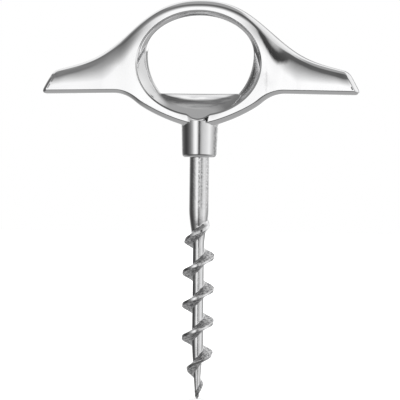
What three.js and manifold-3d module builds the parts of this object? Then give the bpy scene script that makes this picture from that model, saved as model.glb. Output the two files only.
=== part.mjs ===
// Direct-pull corkscrew: a die-cast ring handle with two wings, a cap lifter inside the
// ring and a collar below it, cast round the knurled end of a forged auger worm.
// Millimetres, +Z up along the worm, wings along X, front face towards -Y. Heights below
// are counted from the collar's lower face, on the worm's axis. The whole group is then
// lowered so that the origin is at the middle of the corkscrew's box.
import * as THREE from 'three';
import { LoftGeometry } from 'three/addons/geometries/LoftGeometry.js';
import { mergeVertices } from 'three/addons/utils/BufferGeometryUtils.js';
import Module from 'manifold-3d';

// ---- driving dimensions: handle -------------------------------------------------------
const RING_TOP = 47.2; // height of the ring above the collar's lower face
const HALF_SPAN = 48.55; // centre line to the sharp lower corner of a wing tip
const UNDERSIDE_TIP = 18.75; // height of a wing's underside at its tip
const UNDERSIDE_ROOT = 19.0; // and where it meets the ring
const OUTLINE = { // corners and Bezier handles of the outline's right half, as x and height
  shoulder: [22.5, 36.6],
  wingStart: [38.7, 27.45],
  tipTop: [44.75, 25.82],
  wingRoot: [26.0, UNDERSIDE_ROOT],
  armpit: [18.9, 16.2],
  chin: [0, 8.6],
  crownHandles: [[10.5, RING_TOP], [15.35, 42.86]],
  sweepHandles: [[28.5, 31.34], [31.95, 29.27]],
  armpitHandles: [[22.5, 19.04], [20.4, 17.5]],
  chinHandles: [[15.6, 13.4], [5.5, 8.9]],
};
const EDGE_DRAFT = 0.1; // run of the drafted side wall between the rounding and the parting line
const UPPER_RUN = 1.8; // how far a wing tip's upper corner rounding reaches along its two edges
const LOWER_RUN = 1.9; // and its lower one
const CREASE_RUN = 0.25; // and the rounding of the crease inside that corner
const TIP_MARGIN = 1.3; // from the outline to the crease at a wing tip
// Radius of the outline's edge, by the rim angle it faces: broad over the ring, tight at the tips.
const EDGE_RADII = [[-90, 1.5], [-40, 1.4], [-28, 1.2], [7, 1.2], [14, 1.3], [34, 2.0], [90, 2.5]];

const RIM = { halfWidth: 18.75, above: 16.0, below: 15.2, centre: 27.7 }; // oval rim of the ring's recess
const RIM_DEPTH = 5.2; // parting line to the rim's crest, at the sides
const RIM_THINNING = 1.0; // how much less it is at the top of the ring
const CHIN_THINNING = 0.8; // and at its bottom, over the collar
const RING_FLANK = 0.45; // width of the raised ring round the rim, as a share of the oval's size

const OPENING = { halfWidth: 16.3, centre: 30.9, above: 11.5, below: 17.35 }; // egg-shaped way through
const OPENING_SKEW = 8; // degrees by which the opening's stations lag the rim's at the sides
const LIP_HEIGHT = 19.1; // straight edge of the cap lifter
const EDGE_DEPTH = 2.7; // parting line to the recess floor, at the opening's edge
const EDGE_BREAK = 0.12; // rounding of the opening's edge, and its share of the recess wall
const LIP_THINNING = 1.5; // how much thinner the web is behind the lip's middle
const LIP_BEVEL = 0.15; // further thinning from the web to the lip's edge
const LIP_REACH = 0.2; // share of the recess wall that the web behind the lip takes up

// Each face leans back at its upper edge and straightens towards its lower one. depth is the
// parting line to the face at the upper edge, slope is the lean there, and width is the
// height over which it straightens. The crown's values blend into the wings' between two x.
const CROWN_FACE = { depth: 4.0, slope: 0.1, width: 20.0 };
const WING_FACE = { rootDepth: 2.6, tipDepth: 2.0, slope: 0.4, minWidth: 3.5, maxWidth: 9.5, margin: 3.0 };
const CROWN_REACH = [12.0, 25.0];
const UPPER_BAND = 1.0; // height of the rounded band above the wings' faces
const FACE_LEAN = 0.02; // further lean of the wings' faces over all their height
const UPPER_ROLL = { drop: 0.22, reach: 1.8 }; // how far the wings' faces roll back towards that band

// Collar: radii at its top, at its lower edge and of its dome's flat, then heights.
const COLLAR = { top: 5.55, bottom: 5.25, crown: 2.8, height: 10.8, round: 1.0, dome: 12.3 };

// ---- driving dimensions: worm ---------------------------------------------------------
const SHANK_RADIUS = 2.95;
const SHANK_END = -15.5; // where the shank starts to taper
const CORE_RADIUS = 1.73;
const CORE_START = -27.0;
const CORE_END = -56.0;
const TIP = -72.4;
const TIP_RADIUS = 0.15;
const PITCH = 9.75;
const CREST_HEIGHT = -44.3; // the flight's crest crosses the -X side at this height
const CREST_ANGLE = Math.PI + 0.13; // seen from above, counted from +X
const CREST_RADIUS = 4.8;
const FLIGHT_START = -17.5;
const FLIGHT_FULL = -29.0;
const FLIGHT_TAPER = -57.5;
const CREST_HALF = 0.4; // half the axial width of the crest
const ROOT_HALF = 1.75; // and of the root
const FLANK_CURVE = 1.25; // how hollow the flanks are
const POINT_RADIUS = 0.55; // what the core thins down to before its conical point
const POINT_SLOPE = 0.6; // gain in radius with height on that point
const FLIGHT_GROWTH = 0.6; // how fast the flight rises below the shank
const FLIGHT_FADE = 1.15; // and how it dies away towards the tip
const ANCHOR = { end: 10.0, groove: [2.4, 4.2], grooveRadius: 2.3, flat: 2.5, chamfer: 0.6 };
const CLEARANCE = 0.3;
const SOCKET_START = -1.0; // the socket is cut from just outside the collar's lower face

// ---- mesh density ---------------------------------------------------------------------
const ROWS_PER_TURN = 16;
const COLLAR_SIDES = 48;
const ROUND_POINTS = 4;
const EDGE_POINTS = 12;
const FACE_SHARES = [0.25, 0.5, 0.75];
const WALL_SHARES = [0.3, 0.65];
const ROUND_ANGLES = [30, 60, 90];

const radians = THREE.MathUtils.degToRad;
const clamp = THREE.MathUtils.clamp;
const lerp = THREE.MathUtils.lerp;
const point = (x, z) => new THREE.Vector2(x, z);

// ---- solids ---------------------------------------------------------------------------
const wasm = await Module();
wasm.setup();

// A closed geometry with only shared positions left.
function welded(geometry) {
  const bare = new THREE.BufferGeometry();
  bare.setAttribute('position', geometry.attributes.position);
  bare.setIndex(geometry.index);
  return mergeVertices(bare, 1e-4);
}

function solid(geometry) {
  const shell = welded(geometry);
  const vertProperties = new Float32Array(shell.attributes.position.array);
  const triVerts = new Uint32Array(shell.index.array);
  return new wasm.Manifold(new wasm.Mesh({ numProp: 3, vertProperties, triVerts }));
}

function geometryOf(manifold) {
  const mesh = manifold.getMesh();
  const geometry = new THREE.BufferGeometry();
  geometry.setAttribute('position', new THREE.BufferAttribute(mesh.vertProperties, 3));
  geometry.setIndex(new THREE.BufferAttribute(mesh.triVerts, 1));
  geometry.computeVertexNormals();
  return geometry;
}

// ---- handle: outline ------------------------------------------------------------------
const place = ([x, z]) => point(x, z);
const top = point(0, RING_TOP);
const shoulder = place(OUTLINE.shoulder);
const wingStart = place(OUTLINE.wingStart);
const tipTop = place(OUTLINE.tipTop);
const tipBottom = point(HALF_SPAN, UNDERSIDE_TIP);
const wingRoot = place(OUTLINE.wingRoot);
const armpit = place(OUTLINE.armpit);
const chinPoint = place(OUTLINE.chin);

// Where a corner's rounding starts, on the edge that runs from the corner to another point.
function along(corner, other, run) {
  return corner.clone().add(other.clone().sub(corner).setLength(run));
}

const sweep = (from, handles, to) => new THREE.CubicBezierCurve(from, ...handles.map(place), to);

const crown = sweep(top, OUTLINE.crownHandles, shoulder);
const shoulderSweep = sweep(shoulder, OUTLINE.sweepHandles, wingStart);
const wingTop = new THREE.LineCurve(wingStart, along(tipTop, wingStart, UPPER_RUN));
const upperCorner = new THREE.QuadraticBezierCurve(
  along(tipTop, wingStart, UPPER_RUN), tipTop, along(tipTop, tipBottom, UPPER_RUN));
const tipEdge = new THREE.LineCurve(
  along(tipTop, tipBottom, UPPER_RUN), along(tipBottom, tipTop, LOWER_RUN));
const lowerCorner = new THREE.QuadraticBezierCurve(
  along(tipBottom, tipTop, LOWER_RUN), tipBottom, along(tipBottom, wingRoot, LOWER_RUN));
const underside = new THREE.LineCurve(along(tipBottom, wingRoot, LOWER_RUN), wingRoot);
const armpitSweep = sweep(wingRoot, OUTLINE.armpitHandles, armpit);
const chin = sweep(armpit, OUTLINE.chinHandles, chinPoint);

// A straight edge of the outline moved inwards, as two points.
function inset(from, to, distance) {
  const step = to.clone().sub(from).normalize();
  const shift = point(step.y, -step.x).multiplyScalar(distance);
  return [from.clone().add(shift), to.clone().add(shift)];
}

// Where two lines meet, each given by two points.
function crossing([a, b], [c, d]) {
  const first = b.clone().sub(a);
  const second = d.clone().sub(c);
  const share = c.clone().sub(a).cross(second) / first.cross(second);
  return a.clone().addScaledVector(first, share);
}

function edgeRadius(angle) {
  const next = Math.max(1, EDGE_RADII.findIndex(([limit]) => limit >= angle));
  const [from, low] = EDGE_RADII[next - 1];
  const [to, high] = EDGE_RADII[next];
  return low + ((high - low) * (angle - from)) / (to - from);
}

// The crease between the face and the rounded edge. A wing tip's corners are too tight to be
// offset, so the crease has corners of its own there.
const WING_TOP_ANGLE = 14;
const UNDERSIDE_ANGLE = -28;
const wingInset = inset(wingStart, tipTop, edgeRadius(WING_TOP_ANGLE) + EDGE_DRAFT);
const rootInset = inset(tipBottom, wingRoot, edgeRadius(UNDERSIDE_ANGLE) + EDGE_DRAFT);
const tipInset = inset(tipTop, tipBottom, TIP_MARGIN);
const creaseTop = crossing(inset(wingStart, tipTop, TIP_MARGIN), tipInset);
const creaseBottom = crossing(tipInset, inset(tipBottom, wingRoot, TIP_MARGIN));
const upperStart = along(creaseTop, wingInset[0], CREASE_RUN);
const upperEnd = along(creaseTop, creaseBottom, CREASE_RUN);
const lowerStart = along(creaseBottom, creaseTop, CREASE_RUN);
const lowerEnd = along(creaseBottom, rootInset[1], CREASE_RUN);
const wingTopCrease = new THREE.LineCurve(wingInset[0], upperStart);
const upperCornerCrease = new THREE.QuadraticBezierCurve(upperStart, creaseTop, upperEnd);
const tipCrease = new THREE.LineCurve(upperEnd, lowerStart);
const lowerCornerCrease = new THREE.QuadraticBezierCurve(lowerStart, creaseBottom, lowerEnd);
const undersideCrease = new THREE.LineCurve(lowerEnd, rootInset[1]);

// The right half of the outline from the top round to the bottom. rim gives the angles on
// the recess's oval that each stretch faces.
const STRETCHES = [
  { curve: crown, steps: 9, rim: [90, 34] },
  { curve: shoulderSweep, steps: 7, rim: [34, 14] },
  { curve: wingTop, steps: 2, rim: [14, 9], creased: wingTopCrease },
  { curve: upperCorner, steps: 2, rim: [9, 7], creased: upperCornerCrease },
  { curve: tipEdge, steps: 2, rim: [7, -1], creased: tipCrease },
  { curve: lowerCorner, steps: 3, rim: [-1, -5], creased: lowerCornerCrease },
  { curve: underside, steps: 4, rim: [-5, -28], creased: undersideCrease },
  { curve: armpitSweep, steps: 3, rim: [-28, -40] },
  { curve: chin, steps: 8, rim: [-40, -90] },
];
const LIP_ANGLE = -40; // the rim angle that faces the end of the straight lip

// ---- handle: surface ------------------------------------------------------------------
const upperEdge = [crown, shoulderSweep, wingTop].flatMap((curve) => curve.getPoints(EDGE_POINTS));

// Height of the outline's upper edge over a place x on the wing.
function upperEdgeHeight(x) {
  const distance = Math.abs(x);
  const next = upperEdge.findIndex((p) => p.x > distance);
  if (next < 1) return upperEdge[next === 0 ? 0 : upperEdge.length - 1].y;
  const a = upperEdge[next - 1];
  const b = upperEdge[next];
  return a.y + ((b.y - a.y) * (distance - a.x)) / (b.x - a.x);
}

function rimPoint(angle) {
  const a = radians(angle);
  const reach = angle > 0 ? RIM.above : RIM.below;
  return point(RIM.halfWidth * Math.cos(a), RIM.centre + reach * Math.sin(a));
}

function crestDepth(angle) {
  const lift = Math.sin(radians(angle));
  return RIM_DEPTH - (lift > 0 ? RIM_THINNING : CHIN_THINNING) * lift * lift;
}

// Depth of the front face outside the recess: leaning faces under a raised ring round it.
function faceDepth(p) {
  const central = 1 - THREE.MathUtils.smoothstep(Math.abs(p.x), ...CROWN_REACH);
  const shareOut = clamp(Math.abs(p.x) / HALF_SPAN, 0, 1);
  const edge = upperEdgeHeight(p.x);
  const wingDepth = lerp(WING_FACE.rootDepth, WING_FACE.tipDepth, shareOut);
  const room = edge - UNDERSIDE_ROOT - WING_FACE.margin;
  const wingWidth = clamp(room, WING_FACE.minWidth, WING_FACE.maxWidth);
  const base = lerp(wingDepth, CROWN_FACE.depth, central);
  const slope = lerp(WING_FACE.slope, CROWN_FACE.slope, central);
  const width = lerp(wingWidth, CROWN_FACE.width, central);
  const across = clamp((edge - UPPER_BAND - p.y) / width, 0, 1);
  const roll = clamp(1 - (edge - UPPER_BAND - p.y) / UPPER_ROLL.reach, 0, 1);
  const swell = ((slope * width) / 2) * (1 - (1 - across) ** 2);
  const lean = FACE_LEAN * (edge - p.y) - UPPER_ROLL.drop * roll * roll;
  const wing = base + swell + (1 - central) * lean;
  const dx = p.x / RIM.halfWidth;
  const dz = (p.y - RIM.centre) / (p.y > RIM.centre ? RIM.above : RIM.below);
  const outside = Math.max(0, Math.hypot(dx, dz) - 1) / RING_FLANK;
  const ring = outside < 1 ? (1 - outside) ** 2 : 0;
  const crest = crestDepth(THREE.MathUtils.radToDeg(Math.atan2(dz, dx)));
  return wing + (crest - wing) * ring;
}

// The opening's edge facing a rim angle, and how near that is to the middle of the lip.
function openingPoint(angle) {
  if (angle <= LIP_ANGLE) {
    const corner = openingPoint(LIP_ANGLE + 1e-6).edge.x;
    const x = (corner * (angle + 90)) / (LIP_ANGLE + 90);
    return { edge: point(x, LIP_HEIGHT), lip: 1 - (x / corner) ** 2 };
  }
  const share = (90 - angle) / (90 - LIP_ANGLE);
  const last = THREE.MathUtils.radToDeg(Math.asin((LIP_HEIGHT - OPENING.centre) / OPENING.below));
  const turned = 90 + (last - 90) * share - OPENING_SKEW * Math.sin(Math.PI * share);
  const a = radians(turned);
  const reach = turned > 0 ? OPENING.above : OPENING.below;
  return { edge: point(OPENING.halfWidth * Math.cos(a), OPENING.centre + reach * Math.sin(a)), lip: 0 };
}

// The front half of the section through the ring or wing at one place on the outline, from
// the opening's edge over the front face to the outline. Each entry is x, z and depth.
function halfSection({ curve, creased }, share, angle) {
  const outer = curve.getPoint(share);
  const tangent = curve.getTangent(share);
  const inward = point(tangent.y, -tangent.x);
  const { edge, lip } = openingPoint(angle);
  const rim = rimPoint(angle);
  const crest = crestDepth(angle);
  const foot = edge.clone().lerp(rim, EDGE_BREAK + LIP_REACH * lip);
  const footDepth = EDGE_DEPTH - LIP_THINNING * lip;
  const section = [];
  section.push([edge, 0]);
  section.push([edge, footDepth - EDGE_BREAK - LIP_BEVEL * lip]);
  section.push([foot, footDepth]);
  for (const s of WALL_SHARES) {
    const climbed = 0.75 * s + 0.25 * s * s;
    section.push([foot.clone().lerp(rim, s), footDepth + (crest - footDepth) * climbed]);
  }
  section.push([rim, crest]);
  const radius = edgeRadius(angle);
  const offset = outer.clone().addScaledVector(inward, radius + EDGE_DRAFT);
  const crease = creased ? creased.getPoint(share) : offset;
  const side = along(outer, crease, EDGE_DRAFT);
  for (const s of FACE_SHARES) {
    const p = rim.clone().lerp(crease, s);
    section.push([p, faceDepth(p)]);
  }
  const creaseDepth = faceDepth(crease);
  section.push([crease, creaseDepth]);
  for (const turn of ROUND_ANGLES) {
    const drop = radius * (1 - Math.cos(radians(turn)));
    section.push([crease.clone().lerp(side, Math.sin(radians(turn))), creaseDepth - drop]);
  }
  section.push([outer, 0]);
  return section;
}

// The whole closed section: the front half and its mirror image behind the parting line.
function fullSection(half, side) {
  const spot = ([p, depth], face) => new THREE.Vector3(side * p.x, face * depth, p.y);
  const front = half.map((entry) => spot(entry, -1));
  const back = half.slice(1, -1).reverse().map((entry) => spot(entry, 1));
  return [...front, ...back];
}

function handleBody() {
  const halves = [];
  for (const stretch of STRETCHES) {
    for (let i = 0; i < stretch.steps; i += 1) {
      const share = i / stretch.steps;
      halves.push(halfSection(stretch, share, lerp(...stretch.rim, share)));
    }
  }
  const bottom = halfSection(STRETCHES.at(-1), 1, -90);
  const right = halves.map((half) => fullSection(half, 1));
  const left = halves.slice(1).map((half) => fullSection(half, -1)).reverse();
  return new LoftGeometry([right[0], ...left.reverse(), fullSection(bottom, 1), ...right.reverse()]);
}

function collar() {
  const profile = new THREE.Path();
  profile.moveTo(0, 0);
  profile.lineTo(COLLAR.bottom - COLLAR.round, 0);
  profile.absarc(COLLAR.bottom - COLLAR.round, COLLAR.round, COLLAR.round, -Math.PI / 2, 0, false);
  profile.lineTo(COLLAR.top, COLLAR.height);
  profile.lineTo(COLLAR.crown, COLLAR.dome);
  profile.lineTo(0, COLLAR.dome);
  const lathe = new THREE.LatheGeometry(profile.getPoints(ROUND_POINTS), COLLAR_SIDES);
  lathe.rotateX(Math.PI / 2);
  return lathe;
}

// ---- worm -----------------------------------------------------------------------------
// A value that changes smoothly between two heights, going down.
function eased(z, from, to) {
  const share = clamp((from - z) / (from - to), 0, 1);
  return share * share * (3 - 2 * share);
}

function coreRadius(z) {
  const taper = SHANK_RADIUS + (CORE_RADIUS - SHANK_RADIUS) * eased(z, SHANK_END, CORE_START);
  const ending = clamp((CORE_END - z) / (CORE_END - TIP), 0, 1);
  const slim = taper + (POINT_RADIUS - taper) * ending;
  return Math.min(slim, TIP_RADIUS + POINT_SLOPE * (z - TIP));
}

function crestRadius(z) {
  const core = coreRadius(z);
  const growth = eased(z, FLIGHT_START, FLIGHT_FULL) ** FLIGHT_GROWTH;
  const taper = clamp((FLIGHT_TAPER - z) / (FLIGHT_TAPER - TIP), 0, 1);
  return core + (CREST_RADIUS - core) * growth * (1 - taper) ** FLIGHT_FADE;
}

const HALF_TURN = 180;
const crestTurn = (CREST_HALF / PITCH) * 360;
const rootTurn = (ROOT_HALF / PITCH) * 360;
const flankTurns = [0, 0.25, 0.5, 0.75, 1].map((s) => crestTurn + (rootTurn - crestTurn) * s);
const coreTurns = [90, 120, 150];
const oneSide = [...flankTurns, ...coreTurns];
const TURNS = [...oneSide.map((t) => -t).reverse(), 0, ...oneSide, HALF_TURN];

// Radius of the worm at an angle from the flight's crest, in degrees.
function wormRadius(z, turn) {
  const away = clamp((Math.abs(turn) - crestTurn) / (rootTurn - crestTurn), 0, 1);
  return coreRadius(z) + (crestRadius(z) - coreRadius(z)) * (1 - away) ** FLANK_CURVE;
}

function wormRing(z) {
  const crest = CREST_ANGLE + (2 * Math.PI * (z - CREST_HEIGHT)) / PITCH;
  return TURNS.map((turn) => {
    const angle = crest + radians(turn);
    const r = wormRadius(z, turn);
    return new THREE.Vector3(r * Math.cos(angle), r * Math.sin(angle), z);
  });
}

// The shank's upper end, held in the casting: a groove against pulling out, then a head
// with two flats against turning. grow widens it all over to make the socket.
function anchorRings(bottom, grow) {
  const [grooveLow, grooveHigh] = ANCHOR.groove;
  const crest = CREST_ANGLE + (2 * Math.PI * (FLIGHT_START - CREST_HEIGHT)) / PITCH;
  const ring = (z, radius, flat) => TURNS.map((turn) => {
    const angle = crest + radians(turn);
    const x = clamp(radius * Math.cos(angle), -flat, flat);
    return new THREE.Vector3(x, radius * Math.sin(angle), z);
  });
  const full = SHANK_RADIUS + grow;
  const neck = ANCHOR.grooveRadius + grow;
  const flat = ANCHOR.flat + grow;
  const top = ANCHOR.end + grow;
  return [
    ring(top, full - ANCHOR.chamfer, flat),
    ring(top - ANCHOR.chamfer, full, flat),
    ring(grooveHigh + ANCHOR.chamfer - grow, full, flat),
    ring(grooveHigh - grow, neck, full),
    ring(grooveLow + grow, neck, full),
    ring(grooveLow - ANCHOR.chamfer + grow, full, full),
    ring(bottom, full, full),
  ];
}

function wormGeometry() {
  const rings = anchorRings(FLIGHT_START + PITCH / ROWS_PER_TURN, 0);
  const rows = Math.round(((FLIGHT_START - TIP) / PITCH) * ROWS_PER_TURN);
  for (let i = 0; i <= rows; i += 1) {
    rings.push(wormRing(FLIGHT_START + ((TIP - FLIGHT_START) * i) / rows));
  }
  return welded(new LoftGeometry(rings.reverse(), { capStart: true, capEnd: true }));
}

// ---- assembly -------------------------------------------------------------------------
const plating = new THREE.MeshStandardMaterial({ color: 0xd9dbdd, roughness: 0.08, metalness: 1 });
const steel = new THREE.MeshStandardMaterial({ color: 0xc4c7ca, roughness: 0.22, metalness: 1 });

const capped = { capStart: true, capEnd: true };
const socketRings = anchorRings(SOCKET_START, CLEARANCE).reverse();
const socket = solid(new LoftGeometry(socketRings, capped));
const casting = solid(handleBody()).add(solid(collar())).subtract(socket);

const handle = new THREE.Mesh(geometryOf(casting), plating);
handle.name = 'handle_casting';

const worm = new THREE.Mesh(wormGeometry(), steel);
worm.name = 'worm';

const corkscrew = new THREE.Group();
corkscrew.name = 'corkscrew';
corkscrew.add(handle, worm);
corkscrew.position.z = -(RING_TOP + TIP) / 2;

export default corkscrew;
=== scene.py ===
import math

import bpy
import numpy as np
from mathutils import Euler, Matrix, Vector
from mathutils.bvhtree import BVHTree
from mathutils.geometry import delaunay_2d_cdt


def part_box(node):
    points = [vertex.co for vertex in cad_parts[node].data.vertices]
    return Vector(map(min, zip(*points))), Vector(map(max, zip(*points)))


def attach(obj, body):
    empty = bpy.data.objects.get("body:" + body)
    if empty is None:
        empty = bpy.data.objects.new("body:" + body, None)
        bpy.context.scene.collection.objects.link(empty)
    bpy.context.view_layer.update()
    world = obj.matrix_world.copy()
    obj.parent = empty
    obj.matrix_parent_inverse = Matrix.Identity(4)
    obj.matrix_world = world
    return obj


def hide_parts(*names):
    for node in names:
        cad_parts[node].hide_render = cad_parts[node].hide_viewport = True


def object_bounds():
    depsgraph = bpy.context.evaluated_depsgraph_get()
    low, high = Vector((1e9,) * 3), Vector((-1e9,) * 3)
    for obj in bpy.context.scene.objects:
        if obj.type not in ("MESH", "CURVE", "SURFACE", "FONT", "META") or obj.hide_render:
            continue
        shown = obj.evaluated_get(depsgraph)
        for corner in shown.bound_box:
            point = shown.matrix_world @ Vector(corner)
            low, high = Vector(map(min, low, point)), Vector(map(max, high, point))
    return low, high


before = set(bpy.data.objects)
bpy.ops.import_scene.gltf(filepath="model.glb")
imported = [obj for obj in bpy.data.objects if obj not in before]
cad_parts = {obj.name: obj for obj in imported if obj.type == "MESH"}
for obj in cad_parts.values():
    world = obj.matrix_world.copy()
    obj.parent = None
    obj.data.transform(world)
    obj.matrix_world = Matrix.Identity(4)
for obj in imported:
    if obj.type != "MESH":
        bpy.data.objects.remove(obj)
cad_low, cad_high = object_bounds()

# Lengths below are in millimetres. Heights are counted from the collar's lower face, as in
# the CAD source, and BASE puts that face where the frame has it.
MM = 0.001
handle_low, handle_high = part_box("handle_casting")
BASE = handle_low[2] / MM
RING_TOP = handle_high[2] / MM - BASE
HALF_SPAN = 48.55
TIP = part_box("worm")[0][2] / MM - BASE

# ---- handle -------------------------------------------------------------------------------
# Outline: the heights of a wing's underside, and how far its tip's corners are rounded.
UNDERSIDE_TIP = 18.75
UNDERSIDE_ROOT = 19.0
UPPER_RUN = 1.8
LOWER_RUN = 2.5
EDGE_DRAFT = 0.1
# The recess's oval rim: half width, reach above and below its centre, and its depth from
# the parting line, which is less at the top and at the bottom.
RIM_WIDTH = 18.75
RIM_ABOVE = 16.0
RIM_BELOW = 15.2
RIM_CENTRE = 27.7
RIM_DEPTH = 5.2
RIM_THINNING = 1.0
CHIN_THINNING = 0.8
RIM_ROUND = 0.5
RIM_LAND = 0.55
RING_FLANK = 0.45
# The egg-shaped way through, cut off below by the cap lifter's straight lip.
OPENING_WIDTH = 16.3
OPENING_CENTRE = 30.9
OPENING_ABOVE = 11.5
OPENING_BELOW = 17.35
OPENING_SKEW = 8.0
LIP_HEIGHT = 19.1
LIP_ANGLE = -40.0
LIP_THINNING = 1.5
LIP_BEVEL = 0.15
LIP_REACH = 0.20
EDGE_DEPTH = 2.7
EDGE_BREAK = 0.12
EDGE_ROUND = 0.28
WALL_START = 0.75
# Faces: depth at the upper edge, slope there, and the height over which they straighten.
# The crown's values blend into the wings' between the two places of CROWN_REACH.
CROWN_DEPTH = 4.0
CROWN_SLOPE = 0.1
CROWN_WIDTH = 20.0
CROWN_REACH = (12.0, 25.0)
WING_DEPTH_ROOT = 2.6
WING_DEPTH_TIP = 2.0
WING_SLOPE = 0.4
WING_WIDTH = (3.5, 9.5)
WING_MARGIN = 3.0
FACE_LEAN = 0.03
# The wings' faces roll back towards the band above them and towards the tips.
UPPER_BAND = 1.0
UPPER_ROLL = 0.22
ROLL_REACH = 1.8
TIP_ROLL = 0.22
TIP_REACH = 3.2

# ---- collar -------------------------------------------------------------------------------
COLLAR_TOP_RADIUS = 5.54
COLLAR_LOW_RADIUS = 5.25
COLLAR_STRAIGHT = 11.0
COLLAR_ROUND = 1.0
COLLAR_CAP = 0.06
COLLAR_SIDES = 160
SOCKET_RADIUS = 3.0
SOCKET_END = 8.3
SOCKET_BREAK = 0.12
SOCKET_ROUND = 0.3
# The fillet between collar and ring. It grows between two distances from the middle, since
# the collar's front runs straight on up the ring, a little sunk below the collar itself.
FILLET = 0.8
FILLET_REACH = (2.6, 4.2)
FILLET_ZONE = 9.0
FILLET_TOP = 11.9
FILLET_FADE = (11.0, 9.8)
NECK_SUNK = 0.02
NECK_FILLET = 0.5
WALL_SUNK = 0.5

# ---- worm ---------------------------------------------------------------------------------
SHANK_RADIUS = 2.95
SHANK_END = -15.5
SHANK_TOP = 8.0
SHANK_BREAK = 0.4
CORE_RADIUS = 1.73
CORE_START = -27.0
CORE_END = -56.0
POINT_RADIUS = 0.55
POINT_SLOPE = 0.6
TIP_RADIUS = 0.15
PITCH = 9.75
CREST_HEIGHT = -44.3
CREST_ANGLE = math.pi + 0.13
CREST_RADIUS = 4.8
FLIGHT_START = -17.5
FLIGHT_FULL = -29.0
FLIGHT_TAPER = -57.5
FLIGHT_GROWTH = 0.6
FLIGHT_FADE = 1.15
CREST_HALF = 0.4
ROOT_HALF = 1.75
FLANK_CURVE = 1.25
FLANK_TOP = 0.97
ROUGH_FROM = (-18.0, -24.0)

# ---- fineness -----------------------------------------------------------------------------
STATION_STEP = 0.4
FACE_STEP = 0.5
LEAN_PROBE = 0.1
EDGE_STEPS = 200
EDGE_SPOTS = (0, 4, 9, 15, 22, 30, 45, 60, 80, 100, 120, 140, 158, 172, 182, 190, 196, 200)
EDGE_TURNS = (22.5, 45.0, 67.5, 90.0)
FLOOR_SHARES = (0.35, 0.7, 1.0)
WALL_SHARES = (0.08, 0.2, 0.34, 0.48, 0.6, 0.7)
CREST_OFFSETS = (-2.0, -1.5, -1.1, -0.8, -0.5, -0.2, 0.1, 0.4, 0.7, 1.0, 1.4, 2.0)
STEEPEST = 0.985
SIDE_HEIGHT = 0.3


# ---- mesh helpers -------------------------------------------------------------------------
def bezier(points, t):
    """Points and unit tangents of a Bezier curve of any degree, at the parameters t."""
    levels = [np.asarray(p, float)[None, :] + 0.0 * t[:, None] for p in points]
    while len(levels) > 2:
        levels = [a + (b - a) * t[:, None] for a, b in zip(levels, levels[1:])]
    place = levels[0] + (levels[1] - levels[0]) * t[:, None]
    tangent = levels[1] - levels[0]
    return place, tangent / np.linalg.norm(tangent, axis=1)[:, None]


def eased(value, start, end):
    share = np.clip((value - start) / (end - start), 0.0, 1.0)
    return share * share * (3.0 - 2.0 * share)


def mesh_object(name, points, faces):
    """A smooth-shaded object from points in millimetres above the collar's lower face."""
    place = (np.asarray(points, float) + np.array([0.0, 0.0, BASE])) * MM
    mesh = bpy.data.meshes.new(name)
    mesh.from_pydata(place.tolist(), [], faces)
    mesh.update()
    mesh.polygons.foreach_set("use_smooth", [True] * len(mesh.polygons))
    piece = bpy.data.objects.new(name, mesh)
    bpy.context.scene.collection.objects.link(piece)
    return piece


def ring_faces(rows, columns, flip=False):
    """Faces of a stack of rings, closed by fans to a pole before the first ring and a pole
    after the last. The poles' points come after the rings'."""
    faces = []
    for i in range(rows - 1):
        here = i * columns
        there = here + columns
        for j in range(columns):
            k = (j + 1) % columns
            faces.append((here + j, here + k, there + k, there + j))
    first_pole = rows * columns
    last = first_pole - columns
    for j in range(columns):
        k = (j + 1) % columns
        faces.append((k, j, first_pole))
        faces.append((last + j, last + k, first_pole + 1))
    return [face[::-1] for face in faces] if flip else faces


def strip_faces(rows, columns, start):
    """Quads of a grid whose rows close into a loop, with its first vertex at start."""
    faces = []
    for i in range(rows):
        here = start + i * columns
        there = start + ((i + 1) % rows) * columns
        for j in range(columns - 1):
            faces.append((here + j, there + j, there + j + 1, here + j + 1))
    return faces


def vertex_normals(points, faces):
    draft = bpy.data.meshes.new("draft")
    draft.from_pydata(points.tolist(), [], faces)
    normals = np.zeros(len(points) * 3, np.float32)
    draft.vertex_normals.foreach_get("vector", normals)
    bpy.data.meshes.remove(draft)
    return normals.reshape(-1, 3).astype(float)


def unit(vectors):
    return vectors / np.linalg.norm(vectors, axis=1)[:, None]


def column(plan, depth):
    """Points of a strip: x, height and depth from the parting line."""
    return np.column_stack([plan, np.broadcast_to(depth, len(plan))])


# ---- handle: outline ----------------------------------------------------------------------
TIP_TOP = np.array([44.75, 25.82])
TIP_BOTTOM = np.array([HALF_SPAN, UNDERSIDE_TIP])
SHOULDER = (22.5, 36.6)
WING_START = np.array([38.7, 27.45])
WING_ROOT = np.array([26.0, UNDERSIDE_ROOT])
ARMPIT = (18.9, 16.2)


def toward(corner, other, run):
    """Where a corner's rounding starts, on the edge that runs from it to another point."""
    step = other - corner
    return corner + step * (run / np.linalg.norm(step))


CROWN = [(0.0, RING_TOP), (10.5, RING_TOP), (15.35, 42.86), SHOULDER]
SHOULDER_SWEEP = [SHOULDER, (28.5, 31.34), (31.95, 29.27), WING_START]
UPPER_IN = toward(TIP_TOP, WING_START, UPPER_RUN)
UPPER_OUT = toward(TIP_TOP, TIP_BOTTOM, UPPER_RUN)
LOWER_IN = toward(TIP_BOTTOM, TIP_TOP, LOWER_RUN)
LOWER_OUT = toward(TIP_BOTTOM, WING_ROOT, LOWER_RUN)
WING_TOP = [WING_START, UPPER_IN]
UPPER_CORNER = [UPPER_IN, TIP_TOP, UPPER_OUT]
TIP_EDGE = [UPPER_OUT, LOWER_IN]
LOWER_CORNER = [LOWER_IN, TIP_BOTTOM, LOWER_OUT]
UNDERSIDE = [LOWER_OUT, WING_ROOT]
ARMPIT_SWEEP = [WING_ROOT, (22.5, 19.04), (20.4, 17.5), ARMPIT]
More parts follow.
